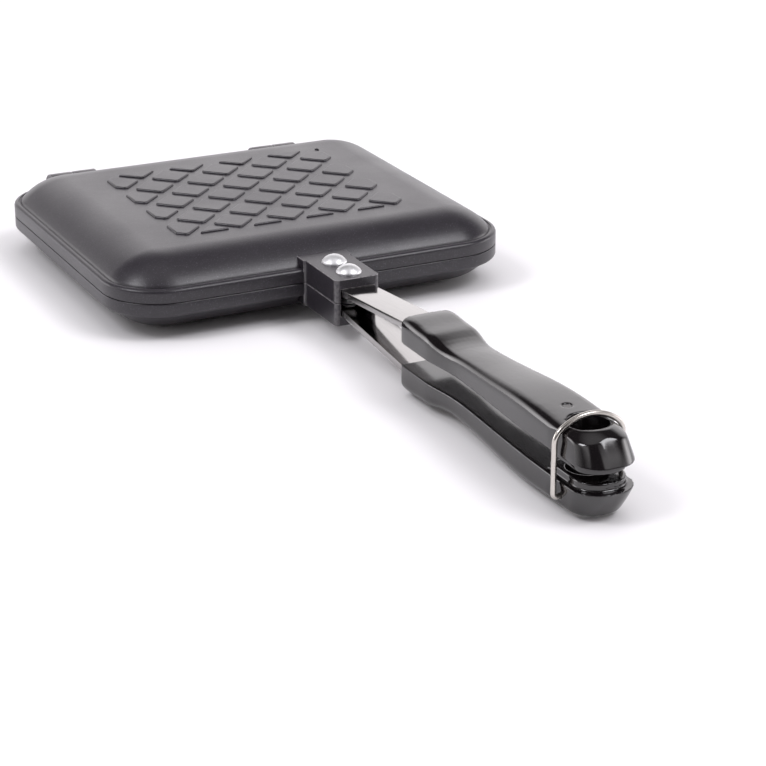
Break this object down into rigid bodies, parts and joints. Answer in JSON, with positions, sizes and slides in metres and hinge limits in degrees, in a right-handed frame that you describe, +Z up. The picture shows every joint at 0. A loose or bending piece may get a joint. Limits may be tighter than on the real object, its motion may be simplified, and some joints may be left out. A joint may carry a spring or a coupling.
{
  "type": "pie iron",
  "caption": "Hinged double sandwich pan for cooking over a flame, with domed diamond-tiled backs, riveted straps, moulded grips and a wire bail latch.",
  "frame": {"origin": "the middle of the footprint on the surface that the closed pan lies on", "axes": "+Z up, +Y along the pan towards the hinge, +X across it, the grips point along -Y"},
  "size_m": [0.15, 0.3402, 0.03],
  "materials": {
    "pan_coating": "satin dark grey non-stick coating",
    "strap_steel": "bright plated",
    "rivet_metal": "bright",
    "grip_plastic": "polished black",
    "pin_steel": "plain",
    "bail_wire": "plated"
  },
  "bodies": {
    "base": {"lower_pan": "pan_coating", "hinge_pin_left": "pin_steel", "hinge_pin_right": "pin_steel", "lower_strap": "strap_steel", "lower_front_rivet": "rivet_metal", "lower_rear_rivet": "rivet_metal", "lower_handle": "grip_plastic", "lower_handle_pin": "pin_steel"},
    "lid": {"upper_pan": "pan_coating", "upper_strap": "strap_steel", "upper_front_rivet": "rivet_metal", "upper_rear_rivet": "rivet_metal", "upper_handle": "grip_plastic", "upper_handle_pin": "pin_steel"},
    "bail": {"latch_bail": "bail_wire"}
  },
  "joints": [
    {"name": "lid_hinge", "type": "hinge", "parent": "base", "child": "lid", "pos_m": [0, 0.1643, 0.0142], "axis": [-1, 0, 0], "range_deg": [0, 180]},
    {"name": "bail_swing", "type": "hinge", "parent": "base", "child": "bail", "pos_m": [0, -0.1546, 0.0055], "axis": [1, 0, 0], "range_deg": [0, 100]}
  ]
}
